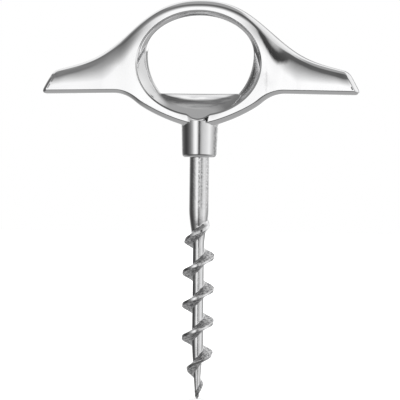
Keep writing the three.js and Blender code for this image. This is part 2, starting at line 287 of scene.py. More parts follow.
CHIN = [ARMPIT, (15.6, 13.4), (5.5, 8.9), (0.0, 8.6)]

# Each stretch of the right half's outline, with the angles on the recess's oval it faces.
STRETCHES = [
    (CROWN, 90.0, 34.0),
    (SHOULDER_SWEEP, 34.0, 14.0),
    (WING_TOP, 14.0, 9.0),
    (UPPER_CORNER, 9.0, 7.0),
    (TIP_EDGE, 7.0, -1.0),
    (LOWER_CORNER, -1.0, -5.0),
    (UNDERSIDE, -5.0, -28.0),
    (ARMPIT_SWEEP, -28.0, -40.0),
    (CHIN, -40.0, -90.0),
]
# Where the faces stop and the rounding starts, at the wing tips: the corners there are too
# tight to be offset, so the crease has corners of its own.
TIP_MARGIN = 1.3
CREASE_RUN = 0.25


def inset(a, b, distance):
    """The line from a to b moved to its right-hand side."""
    along = (b - a) / np.linalg.norm(b - a)
    shift = np.array([along[1], -along[0]]) * distance
    return a + shift, b + shift


def crossing(first, second):
    """Where two lines meet, each given by two points."""
    (a, b), (c, d) = first, second
    matrix = np.column_stack([b - a, c - d])
    return a + (b - a) * np.linalg.solve(matrix, c - a)[0]


top_inset = inset(WING_START, TIP_TOP, TIP_MARGIN)
end_inset = inset(TIP_TOP, TIP_BOTTOM, TIP_MARGIN)
low_inset = inset(TIP_BOTTOM, WING_ROOT, TIP_MARGIN)
CREASE_TOP = crossing(top_inset, end_inset)
CREASE_BOTTOM = crossing(end_inset, low_inset)

# Rounding of the outline's edge, by the same angles: broad over the ring, tight at the tips.
RADIUS_ANGLES = (-90.0, -40.0, -28.0, 7.0, 14.0, 34.0, 90.0)
EDGE_RADII = (1.5, 1.4, 1.2, 1.2, 1.3, 2.0, 2.5)
# How far that rounding is a bevel instead: along the underside and the tips.
BEVEL_ANGLES = (7.0, 10.0)
BEVEL_SHARES = (1.0, 0.0)
# Slope of that bevel in degrees, by the share of the way out.
BEVEL = ((0.0, 0.30, 0.78, 1.0), (0.0, 46.0, 54.0, 82.0))

dense = np.linspace(0.0, 1.0, 400)
upper_edge = np.concatenate([bezier(c, dense)[0] for c in (CROWN, SHOULDER_SWEEP, WING_TOP)])


def joined(a, b, reach):
    """The larger of two depths, with a fillet where they are alike."""
    h = np.maximum(reach - np.abs(a - b), 0.0) / reach
    return np.maximum(a, b) + h * h * reach / 4.0


def collar_radius(z):
    slope = (COLLAR_TOP_RADIUS - COLLAR_LOW_RADIUS) / COLLAR_STRAIGHT
    return np.minimum(COLLAR_LOW_RADIUS + slope * z, COLLAR_TOP_RADIUS)


def collar_depth(x, z):
    """How far the collar's front, carried on up the ring, stands before the parting line."""
    radius = collar_radius(z) - NECK_SUNK
    return np.sqrt(np.maximum(radius**2 - x**2, 0.0))


def crest_depth(turn):
    """Depth of the recess's rim, by its angle in radians."""
    lift = np.sin(turn)
    above = RIM_THINNING * np.maximum(lift, 0.0) ** 2
    below = CHIN_THINNING * np.maximum(-lift, 0.0) ** 2
    return RIM_DEPTH - above - below


def wing_depth(x, z):
    """Depth of the front face, without the ring: it swells below its upper edge."""
    share_out = np.clip(np.abs(x) / HALF_SPAN, 0.0, 1.0)
    top = np.interp(np.abs(x), upper_edge[:, 0], upper_edge[:, 1])
    below_band = top - UPPER_BAND - z
    central = 1.0 - eased(np.abs(x), *CROWN_REACH)
    wing_base = WING_DEPTH_ROOT + (WING_DEPTH_TIP - WING_DEPTH_ROOT) * share_out
    wing_width = np.clip(top - UNDERSIDE_ROOT - WING_MARGIN, *WING_WIDTH)
    base = wing_base + (CROWN_DEPTH - wing_base) * central
    slope = WING_SLOPE + (CROWN_SLOPE - WING_SLOPE) * central
    width = wing_width + (CROWN_WIDTH - wing_width) * central
    across = np.clip(below_band / width, 0.0, 1.0)
    swell = slope * width / 2.0 * (1.0 - (1.0 - across) ** 2)
    roll = UPPER_ROLL * np.clip(1.0 - below_band / ROLL_REACH, 0.0, 1.0) ** 2
    lean = (FACE_LEAN * (top - z) - roll) * (1.0 - central)
    end = np.array([TIP_TOP[1] - TIP_BOTTOM[1], TIP_BOTTOM[0] - TIP_TOP[0]])
    end = end / np.linalg.norm(end)
    from_tip = (TIP_BOTTOM[0] - np.abs(x)) * end[0] + (TIP_BOTTOM[1] - z) * end[1]
    near_tip = np.clip(1.0 - (from_tip - TIP_MARGIN) / TIP_REACH, 0.0, 1.0)
    return base + swell + lean - TIP_ROLL * near_tip**2


def face_depth(x, z):
    """Depth of the front face outside the recess, with the ring's flank and the neck."""
    wing = wing_depth(x, z)
    dx = x / RIM_WIDTH
    dz = (z - RIM_CENTRE) / np.where(z > RIM_CENTRE, RIM_ABOVE, RIM_BELOW)
    outside = np.maximum(0.0, np.hypot(dx, dz) - 1.0) / RING_FLANK
    ring = np.maximum(0.0, 1.0 - outside) ** 2
    crest = crest_depth(np.arctan2(dz, dx))
    ring_depth = wing + (crest - wing) * ring
    neck = np.where(z < RIM_CENTRE, collar_depth(x, z), 0.0)
    return joined(ring_depth, neck, NECK_FILLET)


def opening_edge(angle):
    """The opening's edge facing rim angles, and how near each is to the lip's middle."""
    share = np.clip((90.0 - angle) / (90.0 - LIP_ANGLE), 0.0, 1.0)
    last = math.degrees(math.asin((LIP_HEIGHT - OPENING_CENTRE) / OPENING_BELOW))
    turned = np.radians(90.0 + (last - 90.0) * share - OPENING_SKEW * np.sin(np.pi * share))
    reach = np.where(turned > 0.0, OPENING_ABOVE, OPENING_BELOW)
    x = OPENING_WIDTH * np.cos(turned)
    z = OPENING_CENTRE + reach * np.sin(turned)
    corner = OPENING_WIDTH * math.cos(math.radians(last))
    on_lip = angle <= LIP_ANGLE
    lip_x = corner * (angle + 90.0) / (LIP_ANGLE + 90.0)
    x = np.where(on_lip, lip_x, x)
    z = np.where(on_lip, LIP_HEIGHT, z)
    lip = np.where(on_lip, 1.0 - (lip_x / corner) ** 2, 0.0)
    return np.stack([x, z], axis=1), lip


def stations():
    """Points on the right half's outline from the top round to the bottom, the points on
    the crease where the edge's rounding starts, the rounding's radius and the rim angles."""
    pieces = []
    for curve, first, last in STRETCHES:
        t = np.linspace(0.0, 1.0, 40)
        length = np.linalg.norm(np.diff(bezier(curve, t)[0], axis=0), axis=1).sum()
        steps = max(6, round(length / STATION_STEP))
        t = np.arange(steps + (curve is CHIN)) / steps
        angle = first + (last - first) * t
        outer, tangent = bezier(curve, t)
        radius = np.interp(angle, RADIUS_ANGLES, EDGE_RADII)
        inward = np.stack([tangent[:, 1], -tangent[:, 0]], axis=1)
        crease = outer + inward * (radius + EDGE_DRAFT)[:, None]
        pieces.append([curve, t, outer, crease, radius, angle])

    def ends(index):
        return pieces[index][3][0]

    start, root = ends(2), ends(7)
    corner_in = toward(CREASE_TOP, start, CREASE_RUN)
    corner_out = toward(CREASE_TOP, CREASE_BOTTOM, CREASE_RUN)
    low_in = toward(CREASE_BOTTOM, CREASE_TOP, CREASE_RUN)
    low_out = toward(CREASE_BOTTOM, root, CREASE_RUN)
    inner = {
        2: [start, corner_in],
        3: [corner_in, CREASE_TOP, corner_out],
        4: [corner_out, low_in],
        5: [low_in, CREASE_BOTTOM, low_out],
        6: [low_out, root],
    }
    for index, curve in inner.items():
        pieces[index][3] = bezier(curve, pieces[index][1])[0]
    outer = np.concatenate([p[2] for p in pieces])
    crease = np.concatenate([p[3] for p in pieces])
    radius = np.concatenate([p[4] for p in pieces])
    angle = np.concatenate([p[5] for p in pieces])
    return outer, crease, radius, angle


# ---- handle: surface ----------------------------------------------------------------------
# A strip has a row of points for each station, as x, height and depth from the parting line.
def rim_line(turn):
    """The rim's oval at angles in radians, and the way off it outwards."""
    reach = np.where(turn > 0.0, RIM_ABOVE, RIM_BELOW)
    oval = np.stack([RIM_WIDTH * np.cos(turn), RIM_CENTRE + reach * np.sin(turn)], axis=1)
    away = np.stack([np.cos(turn) / RIM_WIDTH, np.sin(turn) / reach], axis=1)
    return oval, unit(away)


def wall_climb(share):
    """How far up the recess's wall is, at a share of the way out to the rim."""
    return WALL_START * share + (1.0 - WALL_START) * share**2


def wall_share(climb):
    """The same the other way round."""
    bend = 1.0 - WALL_START
    return (np.sqrt(WALL_START**2 + 4.0 * bend * climb) - WALL_START) / (2.0 * bend)


def inner_strip(angle):
    """From the wall of the way through, up the recess and over its rim, onto the face."""
    turn = np.radians(angle)
    edge, lip = opening_edge(angle)
    oval, away = rim_line(turn)
    foot = edge + (oval - edge) * (EDGE_BREAK + LIP_REACH * lip)[:, None]
    foot_depth = EDGE_DEPTH - LIP_THINNING * lip
    edge_depth = foot_depth - EDGE_BREAK - LIP_BEVEL * lip

    # where the collar stands proud of the ring, the recess's wall runs on to its front
    ring_crest = crest_depth(turn)
    neck = np.where(turn < 0.0, collar_depth(oval[:, 0], oval[:, 1]), 0.0)
    crest = joined(ring_crest, neck, NECK_FILLET)
    full = wall_share((crest - foot_depth) / (ring_crest - foot_depth))
    rim = foot + (oval - foot) * full[:, None]

    # the through wall, and the rounded edge between it and the recess
    columns = [column(edge, (edge_depth - EDGE_ROUND) * share) for share in (0.0, 0.5, 1.0)]
    outward = unit(rim - edge)
    for turned in np.radians(EDGE_TURNS):
        run = EDGE_ROUND * (1.0 - math.cos(turned))
        drop = EDGE_ROUND * (1.0 - math.sin(turned))
        columns.append(column(edge + outward * run, edge_depth - drop))
    start = edge + outward * EDGE_ROUND
    for share in FLOOR_SHARES:
        plan = start + (foot - start) * share
        columns.append(column(plan, edge_depth + (foot_depth - edge_depth) * share))

    # the recess wall and the start of the face, by the distance s past the crest
    wall_length = np.linalg.norm(rim - foot, axis=1)

    def plan_at(s):
        within = np.clip(1.0 + s / wall_length, 0.0, 1.0)[:, None]
        beyond = np.maximum(s, 0.0)[:, None]
        return np.where(s[:, None] < 0.0, foot + (rim - foot) * within, rim + away * beyond)

    def depth_at(s):
        within = np.clip(1.0 + s / wall_length, 0.0, 1.0) * full
        wall = foot_depth + (ring_crest - foot_depth) * wall_climb(within)
        plan = plan_at(s)
        return np.where(s < 0.0, wall, face_depth(plan[:, 0], plan[:, 1]))

    def rounded(s, window):
        taps = np.linspace(-1.0, 1.0, 9)
        return sum(depth_at(s + window * tap) for tap in taps) / len(taps)

    for share in WALL_SHARES:
        s = -wall_length * (1.0 - share)
        columns.append(column(plan_at(s), depth_at(s)))
    inner_land = np.minimum(wall_length * (1.0 - WALL_SHARES[-1]), RIM_LAND)
    for offset in CREST_OFFSETS:
        s = offset / 2.0 * np.where(offset < 0.0, inner_land, RIM_LAND)
        window = RIM_ROUND * (1.0 - abs(offset) / 2.0) + 1e-6
        columns.append(column(plan_at(s), rounded(s, window)))
    return np.stack(columns, axis=1)


def outer_strip(outer, crease, radius, angle):
    """From the face's crease over the rounded or bevelled edge to the parting line."""
    crease_depth = face_depth(crease[:, 0], crease[:, 1])
    inward = unit(crease - outer)
    side = outer + inward * EDGE_DRAFT
    probe = crease + inward * LEAN_PROBE
    lean = (face_depth(probe[:, 0], probe[:, 1]) - crease_depth) / LEAN_PROBE
    lean = np.sin(np.arctan(np.maximum(lean, 0.0)))[:, None]
    share = np.linspace(0.0, 1.0, EDGE_STEPS + 1)[None, :]
    round_slope = np.tan(np.arcsin(np.minimum(lean + (1.0 - lean) * share, STEEPEST)))
    bevel_slope = np.tan(np.radians(np.interp(share, *BEVEL)))
    bevel = np.interp(angle, BEVEL_ANGLES, BEVEL_SHARES)[:, None]
    slopes = round_slope * (1.0 - bevel) + bevel_slope * bevel
    drops = np.cumsum((slopes[:, 1:] + slopes[:, :-1]) / 2.0, axis=1) / EDGE_STEPS
    drops = np.column_stack([np.zeros(len(drops)), drops]) * radius[:, None]
    drops *= np.minimum(1.0, (crease_depth - SIDE_HEIGHT) / drops[:, -1])[:, None]
    columns = []
    for spot in EDGE_SPOTS:
        plan = crease + (side - crease) * (spot / EDGE_STEPS)
        columns.append(column(plan, crease_depth - drops[:, spot]))
    last_depth = crease_depth - drops[:, -1]
    columns.append(column(outer + inward * EDGE_DRAFT * 0.5, last_depth * 0.5))
    columns.append(column(outer, 0.0))
    return np.stack(columns, axis=1)


def both_halves(half, parting_first):
    """A strip's front half made whole: mirrored behind the parting line, then left to right."""
    front = np.stack([half[..., 0], -half[..., 2], half[..., 1]], axis=2)
    back = front * np.array([1.0, -1.0, 1.0])
    if parting_first:
        right = np.concatenate([back[:, :0:-1], front], axis=1)
    else:
        right = np.concatenate([front, back[:, -2::-1]], axis=1)
    left = right[1:-1] * np.array([-1.0, 1.0, 1.0])
    return np.concatenate([right, left[::-1]], axis=0)


def inside(points, loop):
    """Which points of a plane lie inside a closed loop."""
    result = np.zeros(len(points), bool)
    x, z = points[:, 0], points[:, 1]
    for (ax, az), (bx, bz) in zip(loop, np.roll(loop, -1, axis=0)):
        if az != bz:
            crosses = (az > z) != (bz > z)
            result ^= crosses & (x < ax + (z - az) * (bx - ax) / (bz - az))
    return result


def face_mesh(inner_loop, outer_loop):
    """Even triangles over the face between two closed loops: new points and triangles that
    count first the inner loop, then the outer loop, then the new points."""
    rows = np.arange(outer_loop[:, 1].min(), outer_loop[:, 1].max(), FACE_STEP * 0.866)
    half = np.arange(0.0, outer_loop[:, 0].max(), FACE_STEP)
    grid = []
    for index, z in enumerate(rows):
        x = half + (FACE_STEP / 2.0 if index % 2 else 0.0)
        x = np.concatenate([-x[::-1], x if index % 2 else x[1:]])
        grid.append(np.column_stack([x, np.full(len(x), z)]))
    grid = np.concatenate(grid)
    grid = grid[inside(grid, outer_loop) & ~inside(grid, inner_loop)]
    loops = np.concatenate([inner_loop, outer_loop])
    gap = np.full(len(grid), 1e9)
    for spot in loops:
        gap = np.minimum(gap, np.hypot(grid[:, 0] - spot[0], grid[:, 1] - spot[1]))
    grid = grid[gap > FACE_STEP * 0.6]
    points = np.concatenate([loops, grid])
    count = len(inner_loop)
    edges = [(i, (i + 1) % count) for i in range(count)]
    edges += [(count + i, count + (i + 1) % len(outer_loop)) for i in range(len(outer_loop))]
    found = delaunay_2d_cdt([Vector(p) for p in points], edges, [], 0, 1e-6)
    names = [ids[0] for ids in found[3]]
    triangles = np.array([[names[v] for v in face] for face in found[2]])
    middle = points[triangles].mean(axis=1)
    wanted = inside(middle, outer_loop) & ~inside(middle, inner_loop)
    return grid, triangles[wanted]


# ---- collar and the fillet round it -------------------------------------------------------
def blend(a, b, reach):
    """Signed distance of two joined solids, filleted where they meet."""
    h = np.maximum(reach - np.abs(a - b), 0.0) / reach
    return np.minimum(a, b) - h * h * reach / 4.0


def fillet_reach(points, facing):
    """Size of the fillet: none over the collar's front, nor where the two solids' surfaces
    run alongside each other. facing is the dot product of their normals."""
    share = eased(np.abs(points[:, 0]), *FILLET_REACH) * (1.0 - np.abs(facing))
    return FILLET * share + 1e-4


def raised(points, normals, distance, reach):
    """Points moved along their normals to the filleted join with the other solid."""
    low = np.zeros(len(points))
    high = reach.copy()
    start = blend(low, distance(points), reach)
    reached = blend(high, distance(points + normals * high[:, None]), reach) >= 0.0
    for _ in range(24):
        middle = (low + high) / 2.0
        inside = blend(middle, distance(points + normals * middle[:, None]), reach) < 0.0
        low = np.where(inside, middle, low)
        high = np.where(inside, high, middle)
    moved = np.where((start < 0.0) & reached, high, 0.0)
    return points + normals * moved[:, None]


def collar_distance(points):
    return np.hypot(points[:, 0], points[:, 1]) - collar_radius(points[:, 2])


def body_distance(tree, points):
    """Signed distances to the body, and its normals at the nearest places."""
    gaps = np.empty(len(points))
    normals = np.empty((len(points), 3))
    for i, point in enumerate(points):
        spot, normal, _, gap = tree.find_nearest(Vector(point))
        gaps[i] = -gap if (Vector(point) - spot).dot(normal) < 0.0 else gap
        normals[i] = normal
    return gaps, normals


def body_shell():
    """The ring and the wings as one closed shell, before the fillet: points and faces."""
    outer, crease, radius, angle = stations()
    inner = both_halves(inner_strip(angle), parting_first=True)
    edges = both_halves(outer_strip(outer, crease, radius, angle), parting_first=False)
    count, wide = inner.shape[:2]
    tall = edges.shape[1]
    grid, triangles = face_mesh(inner[:, -1][:, [0, 2]], edges[:, 0][:, [0, 2]])
    depth = face_depth(grid[:, 0], grid[:, 1])
    front = np.column_stack([grid[:, 0], -depth, grid[:, 1]])
    back = front * np.array([1.0, -1.0, 1.0])
    points = np.concatenate([inner.reshape(-1, 3), edges.reshape(-1, 3), front, back])
    edge_start = count * wide
    front_start = edge_start + count * tall
    station = np.arange(count)
    fresh = front_start + np.arange(len(grid))
    front_names = [station * wide + wide - 1, edge_start + station * tall, fresh]
    back_names = [station * wide, edge_start + station * tall + tall - 1, fresh + len(grid)]
    faces = strip_faces(count, wide, 0) + strip_faces(count, tall, edge_start)
    faces += [tuple(f) for f in np.concatenate(front_names)[triangles].tolist()]
    faces += [tuple(f[::-1]) for f in np.concatenate(back_names)[triangles].tolist()]
    return points, faces


def filleted_body(points, faces):
    """The body's points, raised to the fillet where they are near the collar."""
    normals = vertex_normals(points, faces)
    from_rim = np.hypot(points[:, 0] / RIM_WIDTH, (points[:, 2] - RIM_CENTRE) / RIM_BELOW)
    from_axis = np.hypot(points[:, 0], points[:, 1])
    near = (from_rim > 1.001) & (from_axis < FILLET_ZONE) & (points[:, 2] < FILLET_TOP)
    spots = points[near]
    radial = unit(spots * np.array([1.0, 1.0, 0.0]))
    reach = fillet_reach(spots, (radial * normals[near]).sum(axis=1))
    lifted = raised(spots, normals[near], collar_distance, reach)
    top, bottom = FILLET_FADE
    share = eased(-spots[:, 2], -top, -bottom)[:, None]
    result = points.copy()
    result[near] = spots + (lifted - spots) * share
    return result


def collar_shell(tree):
    """The collar with its socket: rings of points, from the socket's end round to the cap."""
    profile = [(SOCKET_RADIUS - SOCKET_ROUND, SOCKET_END)]
    profile += [(SOCKET_RADIUS, SOCKET_END - SOCKET_ROUND)]
    profile += [(SOCKET_RADIUS, z) for z in np.linspace(SOCKET_END - 1.0, SOCKET_BREAK, 10)]
    profile += [(SOCKET_RADIUS + SOCKET_BREAK, 0.0)]
    profile += [(r, 0.0) for r in np.linspace(3.4, COLLAR_LOW_RADIUS - COLLAR_ROUND, 4)]
    for turn in np.radians(np.linspace(0.0, 90.0, 10))[1:]:
        r = COLLAR_LOW_RADIUS - COLLAR_ROUND * (1.0 - math.sin(turn))
        profile.append((r, COLLAR_ROUND * (1.0 - math.cos(turn))))
    first = len(profile)
    wall_heights = np.linspace(COLLAR_ROUND + 0.2, COLLAR_STRAIGHT, 66)
    profile += [(float(collar_radius(z)), z) for z in wall_heights]
    last = len(profile)
    cap = COLLAR_STRAIGHT + COLLAR_CAP
    profile += [(COLLAR_TOP_RADIUS - 0.3, cap), (COLLAR_TOP_RADIUS * 0.5, cap), (0.5, cap)]
    profile = np.array(profile)
    theta = np.arange(COLLAR_SIDES) * 2.0 * math.pi / COLLAR_SIDES
    circle = np.stack([np.cos(theta), np.sin(theta), 0.0 * theta], axis=1)
    rings = circle[None, :, :] * profile[:, 0][:, None, None]
    rings[..., 2] = profile[:, 1][:, None]

    # the wall follows the fillet near the body, and sinks where the body covers it
    wall = rings[first:last].reshape(-1, 3)
    normals = np.broadcast_to(circle, rings[first:last].shape).reshape(-1, 3)
    gap, body_normals = body_distance(tree, wall)
    reach = fillet_reach(wall, (normals * body_normals).sum(axis=1))
    close = np.abs(gap) < reach
    lifted = wall.copy()
    lifted[close] = raised(
        wall[close], normals[close], lambda p: body_distance(tree, p)[0], reach[close]
    )
    least = reach * 0.2
    sunk = np.clip((least - gap) / 0.4, 0.0, 1.0) * WALL_SUNK
    hidden = wall - normals * sunk[:, None]
    shown = (gap > least)[:, None]
    rings[first:last] = np.where(shown, lifted, hidden).reshape(rings[first:last].shape)
    return rings, cap


def casting():
    body, faces = body_shell()
    rings, cap = collar_shell(BVHTree.FromPolygons(body.tolist(), faces))
    poles = np.array([[0.0, 0.0, SOCKET_END], [0.0, 0.0, cap]])
    points = np.concatenate([filleted_body(body, faces), rings.reshape(-1, 3), poles])
    rows, columns = rings.shape[:2]
    faces += [tuple(v + len(body) for v in face) for face in ring_faces(rows, columns)]
    points[:, 1] = np.clip(points[:, 1], -COLLAR_TOP_RADIUS, COLLAR_TOP_RADIUS)
    return mesh_object("casting", points, faces)


# ---- worm ---------------------------------------------------------------------------------
def core_radius(z):
    taper = SHANK_RADIUS + (CORE_RADIUS - SHANK_RADIUS) * eased(-z, -SHANK_END, -CORE_START)
    ending = np.clip((CORE_END - z) / (CORE_END - TIP), 0.0, 1.0)
    slim = taper + (POINT_RADIUS - taper) * ending
    return np.minimum(slim, TIP_RADIUS + POINT_SLOPE * (z - TIP))


def crest_radius(z):
    core = core_radius(z)
    growth = eased(-z, -FLIGHT_START, -FLIGHT_FULL) ** FLIGHT_GROWTH
    taper = np.clip((FLIGHT_TAPER - z) / (FLIGHT_TAPER - TIP), 0.0, 1.0)
    return core + (CREST_RADIUS - core) * growth * (1.0 - taper) ** FLIGHT_FADE


def worm_piece():
    # round the worm: distances along its pitch from the crest, both ways
    crest = np.linspace(0.0, CREST_HALF, 5)[:-1]
    flank = np.linspace(CREST_HALF, ROOT_HALF, 17)
    rest = np.linspace(ROOT_HALF, PITCH / 2.0, 15)[1:]
    side = np.concatenate([crest, flank, rest])
    offsets = np.concatenate([-side[:0:-1], side[:-1]])
    turns = offsets / PITCH * 2.0 * math.pi
    away = np.maximum((np.abs(offsets) - CREST_HALF) / (ROOT_HALF - CREST_HALF), 0.0)
    share = np.clip(1.0 - away, 0.0, 1.0)[None, :] ** FLANK_CURVE

    heights = np.linspace(FLIGHT_START, TIP, 380)
    z = heights[:, None]
    radius = core_radius(z) + (crest_radius(z) - core_radius(z)) * share
    angle = CREST_ANGLE + 2.0 * math.pi * (z - CREST_HEIGHT) / PITCH + turns[None, :]
    flight = np.stack([radius * np.cos(angle), radius * np.sin(angle), z + 0.0 * angle], axis=2)

    # the shank's rings line up with the flight's first one
    spots = [(SHANK_RADIUS - SHANK_BREAK, SHANK_TOP), (SHANK_RADIUS, SHANK_TOP - SHANK_BREAK)]
    spots += [(SHANK_RADIUS, h) for h in np.linspace(SHANK_TOP - 1.0, SHANK_END, 60)]
    spots += [(float(core_radius(h)), h) for h in (-16.0, -16.5, -17.0)]
    turned = np.stack([np.cos(angle[0]), np.sin(angle[0]), 0.0 * angle[0]], axis=1)
    shank = np.stack([turned * r + np.array([0.0, 0.0, h]) for r, h in spots])

    grid = np.concatenate([shank, flight])
    poles = np.array([[0.0, 0.0, SHANK_TOP], [0.0, 0.0, TIP]])
    points = np.concatenate([grid.reshape(-1, 3), poles])
    rows, columns = grid.shape[:2]
    piece = mesh_object("auger_worm", points, ring_faces(rows, columns, flip=True))

    # how rough the surface is: on the flight's flanks, from a little below its start
    on_flank = np.clip(share * (share < FLANK_TOP) * 3.0, 0.0, 1.0)
    start, full = ROUGH_FROM
    rough = np.zeros((rows, columns))
    rough[len(spots) :] = on_flank * eased(-heights, -start, -full)[:, None]
    attribute = piece.data.attributes.new("flank", "FLOAT", "POINT")
    attribute.data.foreach_set("value", np.concatenate([rough.ravel(), np.zeros(len(poles))]))
    return piece


# ---- materials ----------------------------------------------------------------------------
class Nodes:
    """A few short cuts for building a node tree."""

    def __init__(self, tree):
        self.tree = tree
        tree.nodes.clear()

    def add(self, kind, **settings):
        node = self.tree.nodes.new(kind)
        for key, value in settings.items():
            setattr(node, key, value)
        return node

    def link(self, source, target):
        self.tree.links.new(source, target)

    def put(self, value, socket):
        if isinstance(value, bpy.types.NodeSocket):
            self.link(value, socket)
        else:
            socket.default_value = value

    def math(self, operation, a, b=0.0, clamp=False):
        node = self.add("ShaderNodeMath", operation=operation, use_clamp=clamp)
        self.put(a, node.inputs[0])
        self.put(b, node.inputs[1])
        return node.outputs[0]

    def span(self, value, low, high, to_low=0.0, to_high=1.0, smooth=True):
        kind = "SMOOTHSTEP" if smooth else "LINEAR"
        node = self.add("ShaderNodeMapRange", interpolation_type=kind)
        self.put(value, node.inputs["Value"])
        node.inputs["From Min"].default_value = low
        node.inputs["From Max"].default_value = high
        node.inputs["To Min"].default_value = to_low
        node.inputs["To Max"].default_value = to_high
        return node.outputs["Result"]

    def mix(self, share, a, b):
        node = self.add("ShaderNodeMix", data_type="RGBA", clamp_factor=True)
        self.put(share, node.inputs[0])
        self.put(a, node.inputs[6])
        self.put(b, node.inputs[7])
        return node.outputs[2]

    def noise(self, coordinates, scale, detail=2.0, stretch=(1.0, 1.0, 1.0)):
        mapping = self.add("ShaderNodeMapping")
        self.link(coordinates, mapping.inputs["Vector"])
        mapping.inputs["Scale"].default_value = stretch
        node = self.add("ShaderNodeTexNoise")
        self.link(mapping.outputs[0], node.inputs["Vector"])
        node.inputs["Scale"].default_value = scale
        node.inputs["Detail"].default_value = detail
        return node.outputs[0]


def grey(level):
    """Linear grey from a display level between 0 and 255."""
    value = level / 255.0
    linear = value / 12.92 if value <= 0.04045 else ((value + 0.055) / 1.055) ** 2.4
    return (linear, linear, linear, 1.0)


def chrome_material():
    material = bpy.data.materials.new("chrome_plating")
    material.use_nodes = True
    n = Nodes(material.node_tree)
    place = n.add("ShaderNodeTexCoord").outputs["Object"]
    surface = n.add("ShaderNodeBsdfPrincipled")
    surface.inputs["Metallic"].default_value = 1.0
    tone = n.noise(place, 90.0, 3.0)
    colour = n.mix(tone, (0.80, 0.80, 0.81, 1.0), (0.88, 0.88, 0.88, 1.0))
    parts = n.add("ShaderNodeSeparateXYZ")
    n.link(place, parts.inputs[0])
    thin = n.span(n.math("ABSOLUTE", parts.outputs[1]), 0.0026, 0.0031, 1.0, 0.0)
    web_top = (LIP_HEIGHT + BASE) * MM
    below_lip = n.span(parts.outputs[2], web_top - 0.0012, web_top - 0.0006, 1.0, 0.0)
    brushed = n.math("MULTIPLY", thin, below_lip)
    strokes = n.span(n.noise(place, 1300.0, 3.0, (0.1, 1.0, 1.0)), 0.35, 0.65)
    web_colour = n.mix(strokes, (0.66, 0.66, 0.67, 1.0), (1.0, 1.0, 1.0, 1.0))
    colour = n.mix(brushed, colour, web_colour)
    n.link(colour, surface.inputs["Base Color"])
    haze = n.noise(place, 160.0, 4.0)
    streaks = n.noise(place, 900.0, 2.0, (1.0, 1.0, 0.08))
    haze = n.span(haze, 0.3, 0.75, 0.045, 0.10)
    streaks = n.span(streaks, 0.45, 0.75, 0.0, 0.05)
    n.link(n.math("ADD", haze, streaks), surface.inputs["Roughness"])
    wave = n.noise(place, 140.0, 1.0)
    grain = n.noise(place, 1100.0, 2.0, (1.0, 1.0, 0.45))
    bump = n.add("ShaderNodeBump")
    bump.inputs["Strength"].default_value = 0.3
    bump.inputs["Distance"].default_value = 0.00015
    n.link(n.math("ADD", wave, n.math("MULTIPLY", grain, 0.13)), bump.inputs["Height"])
    n.link(bump.outputs[0], surface.inputs["Normal"])
    output = n.add("ShaderNodeOutputMaterial")
    n.link(surface.outputs[0], output.inputs["Surface"])
    return material


def worm_material():
    material = bpy.data.materials.new("worm_steel")
    material.use_nodes = True
    n = Nodes(material.node_tree)
    place = n.add("ShaderNodeTexCoord").outputs["Object"]
    flank = n.add("ShaderNodeAttribute", attribute_name="flank").outputs["Fac"]
    surface = n.add("ShaderNodeBsdfPrincipled")
    surface.inputs["Metallic"].default_value = 1.0
    grain = n.noise(place, 1500.0, 3.0)
    patches = n.noise(place, 350.0, 3.0)
    bright = n.mix(patches, (0.74, 0.74, 0.75, 1.0), (0.84, 0.84, 0.84, 1.0))
    speckle = n.span(grain, 0.38, 0.62)
    dull = n.mix(speckle, (0.30, 0.30, 0.31, 1.0), (0.84, 0.84, 0.84, 1.0))
    n.link(n.mix(flank, bright, dull), surface.inputs["Base Color"])
    shiny = n.span(patches, 0.3, 0.7, 0.08, 0.2)
    matt = n.span(grain, 0.3, 0.7, 0.3, 0.55)
    rough = n.add("ShaderNodeMix", data_type="FLOAT")
    n.link(flank, rough.inputs[0])
    n.link(shiny, rough.inputs[2])
    n.link(matt, rough.inputs[3])
    n.link(rough.outputs[0], surface.inputs["Roughness"])
    height = n.math("MULTIPLY", grain, n.span(flank, 0.0, 1.0, 0.06, 1.0))
    bump = n.add("ShaderNodeBump")
    bump.inputs["Strength"].default_value = 0.8
    bump.inputs["Distance"].default_value = 0.0005
    n.link(height, bump.inputs["Height"])
    n.link(bump.outputs[0], surface.inputs["Normal"])
    output = n.add("ShaderNodeOutputMaterial")
    n.link(surface.outputs[0], output.inputs["Surface"])
    return material


# ---- pieces -------------------------------------------------------------------------------
handle = casting()
handle.data.materials.append(chrome_material())
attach(handle, "root")
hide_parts("handle_casting")

worm = worm_piece()
worm.data.materials.append(worm_material())
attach(worm, "root")
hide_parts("worm")

# ---- stage --------------------------------------------------------------------------------
CAMERA_YAW = math.radians(7.0)
CAMERA_ROLL = math.radians(0.6)
CAMERA_DISTANCE = 0.8
FRAME_WIDTH = 0.120
SENSOR = 36.0
AIM = Vector((0.0003, 0.0, -0.00015))

